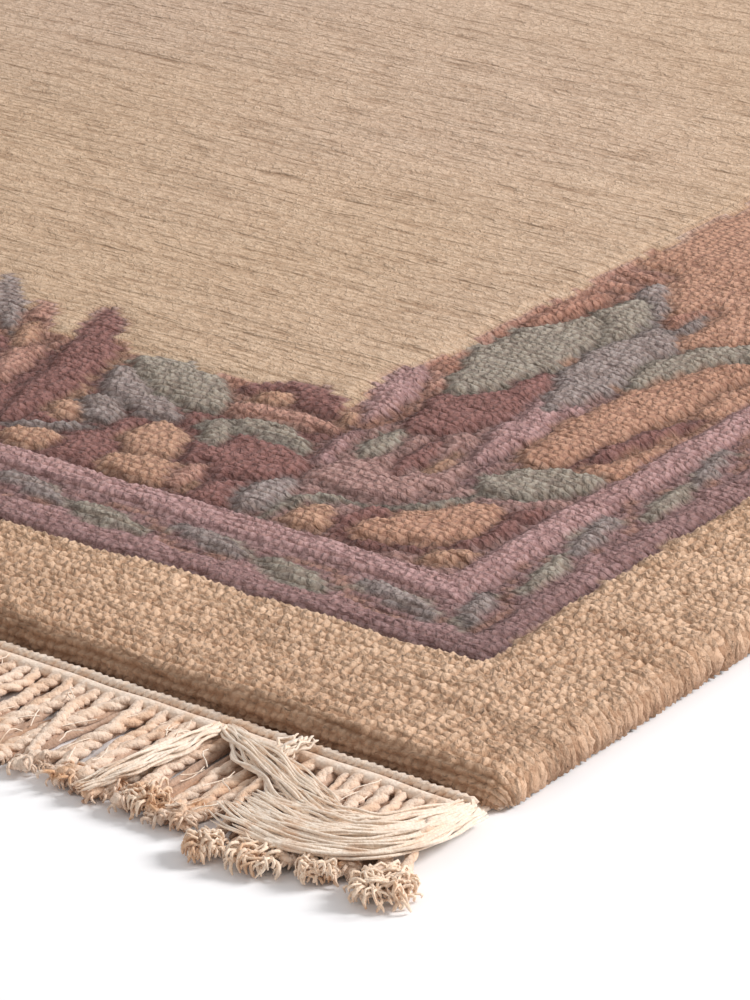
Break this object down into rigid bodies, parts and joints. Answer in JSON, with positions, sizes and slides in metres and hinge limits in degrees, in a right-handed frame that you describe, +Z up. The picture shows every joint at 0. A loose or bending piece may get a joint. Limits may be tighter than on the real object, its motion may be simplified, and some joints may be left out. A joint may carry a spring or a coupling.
{
  "type": "hand-knotted runner rug",
  "caption": "Long runner rug with a thick carved wool pile, a framed leaf border round a plain field, and a woven band with cotton fringe at each end.",
  "frame": {"origin": "middle of the rug's underside, on the floor plane", "axes": "+X across the rug along the wefts, +Y along the rug along the warps, +Z up out of the pile"},
  "size_m": [0.8999, 3.1424, 0.0138],
  "materials": {
    "wool": "cut wool pile in cream, mauve, sage, slate, peach and aubergine",
    "cotton": "undyed twisted cotton yarn"
  },
  "bodies": {
    "root": {"pile_carpet": "wool", "end_band_near": "cotton", "end_band_far": "cotton"}
  },
  "joints": []
}
